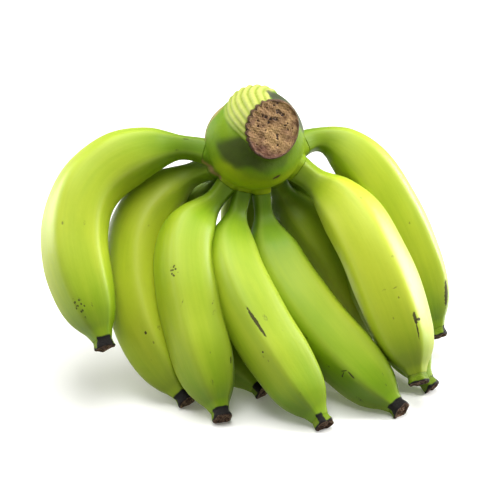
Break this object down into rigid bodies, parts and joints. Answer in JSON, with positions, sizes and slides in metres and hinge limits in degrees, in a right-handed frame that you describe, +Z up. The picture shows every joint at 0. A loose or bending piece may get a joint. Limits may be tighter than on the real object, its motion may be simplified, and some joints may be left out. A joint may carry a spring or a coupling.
{
  "type": "plantain hand",
  "caption": "Cut hand of green plantains: a crown with its cut stub and curved, ridged fingers in two rows, standing on their dried blossom ends.",
  "frame": {"origin": "middle of the bounding box in X and Y, on the ground under the blossom ends in Z", "axes": "+Z up, +X across the hand along its longest side, -Y toward the side that the cut stub and the blossom ends lean to"},
  "size_m": [0.2662, 0.1765, 0.1845],
  "materials": {
    "peel": "smooth waxy green peel, satin",
    "crown_skin": "green crown with pale flutes, satin",
    "cut_callus": "dried brown cut, matte",
    "dried_flower": "dried dark brown, matte"
  },
  "bodies": {
    "root": {"crown": "crown_skin", "crown_cut": "cut_callus", "finger_front_1": "peel", "blossom_end_front_1": "dried_flower", "finger_front_2": "peel", "blossom_end_front_2": "dried_flower", "finger_front_3": "peel", "blossom_end_front_3": "dried_flower", "finger_front_4": "peel", "blossom_end_front_4": "dried_flower", "finger_front_5": "peel", "blossom_end_front_5": "dried_flower", "finger_back_1": "peel", "blossom_end_back_1": "dried_flower", "finger_back_2": "peel", "blossom_end_back_2": "dried_flower", "finger_back_3": "peel", "blossom_end_back_3": "dried_flower", "finger_back_4": "peel", "blossom_end_back_4": "dried_flower", "finger_back_5": "peel", "blossom_end_back_5": "dried_flower", "finger_back_6": "peel", "blossom_end_back_6": "dried_flower"}
  },
  "joints": []
}
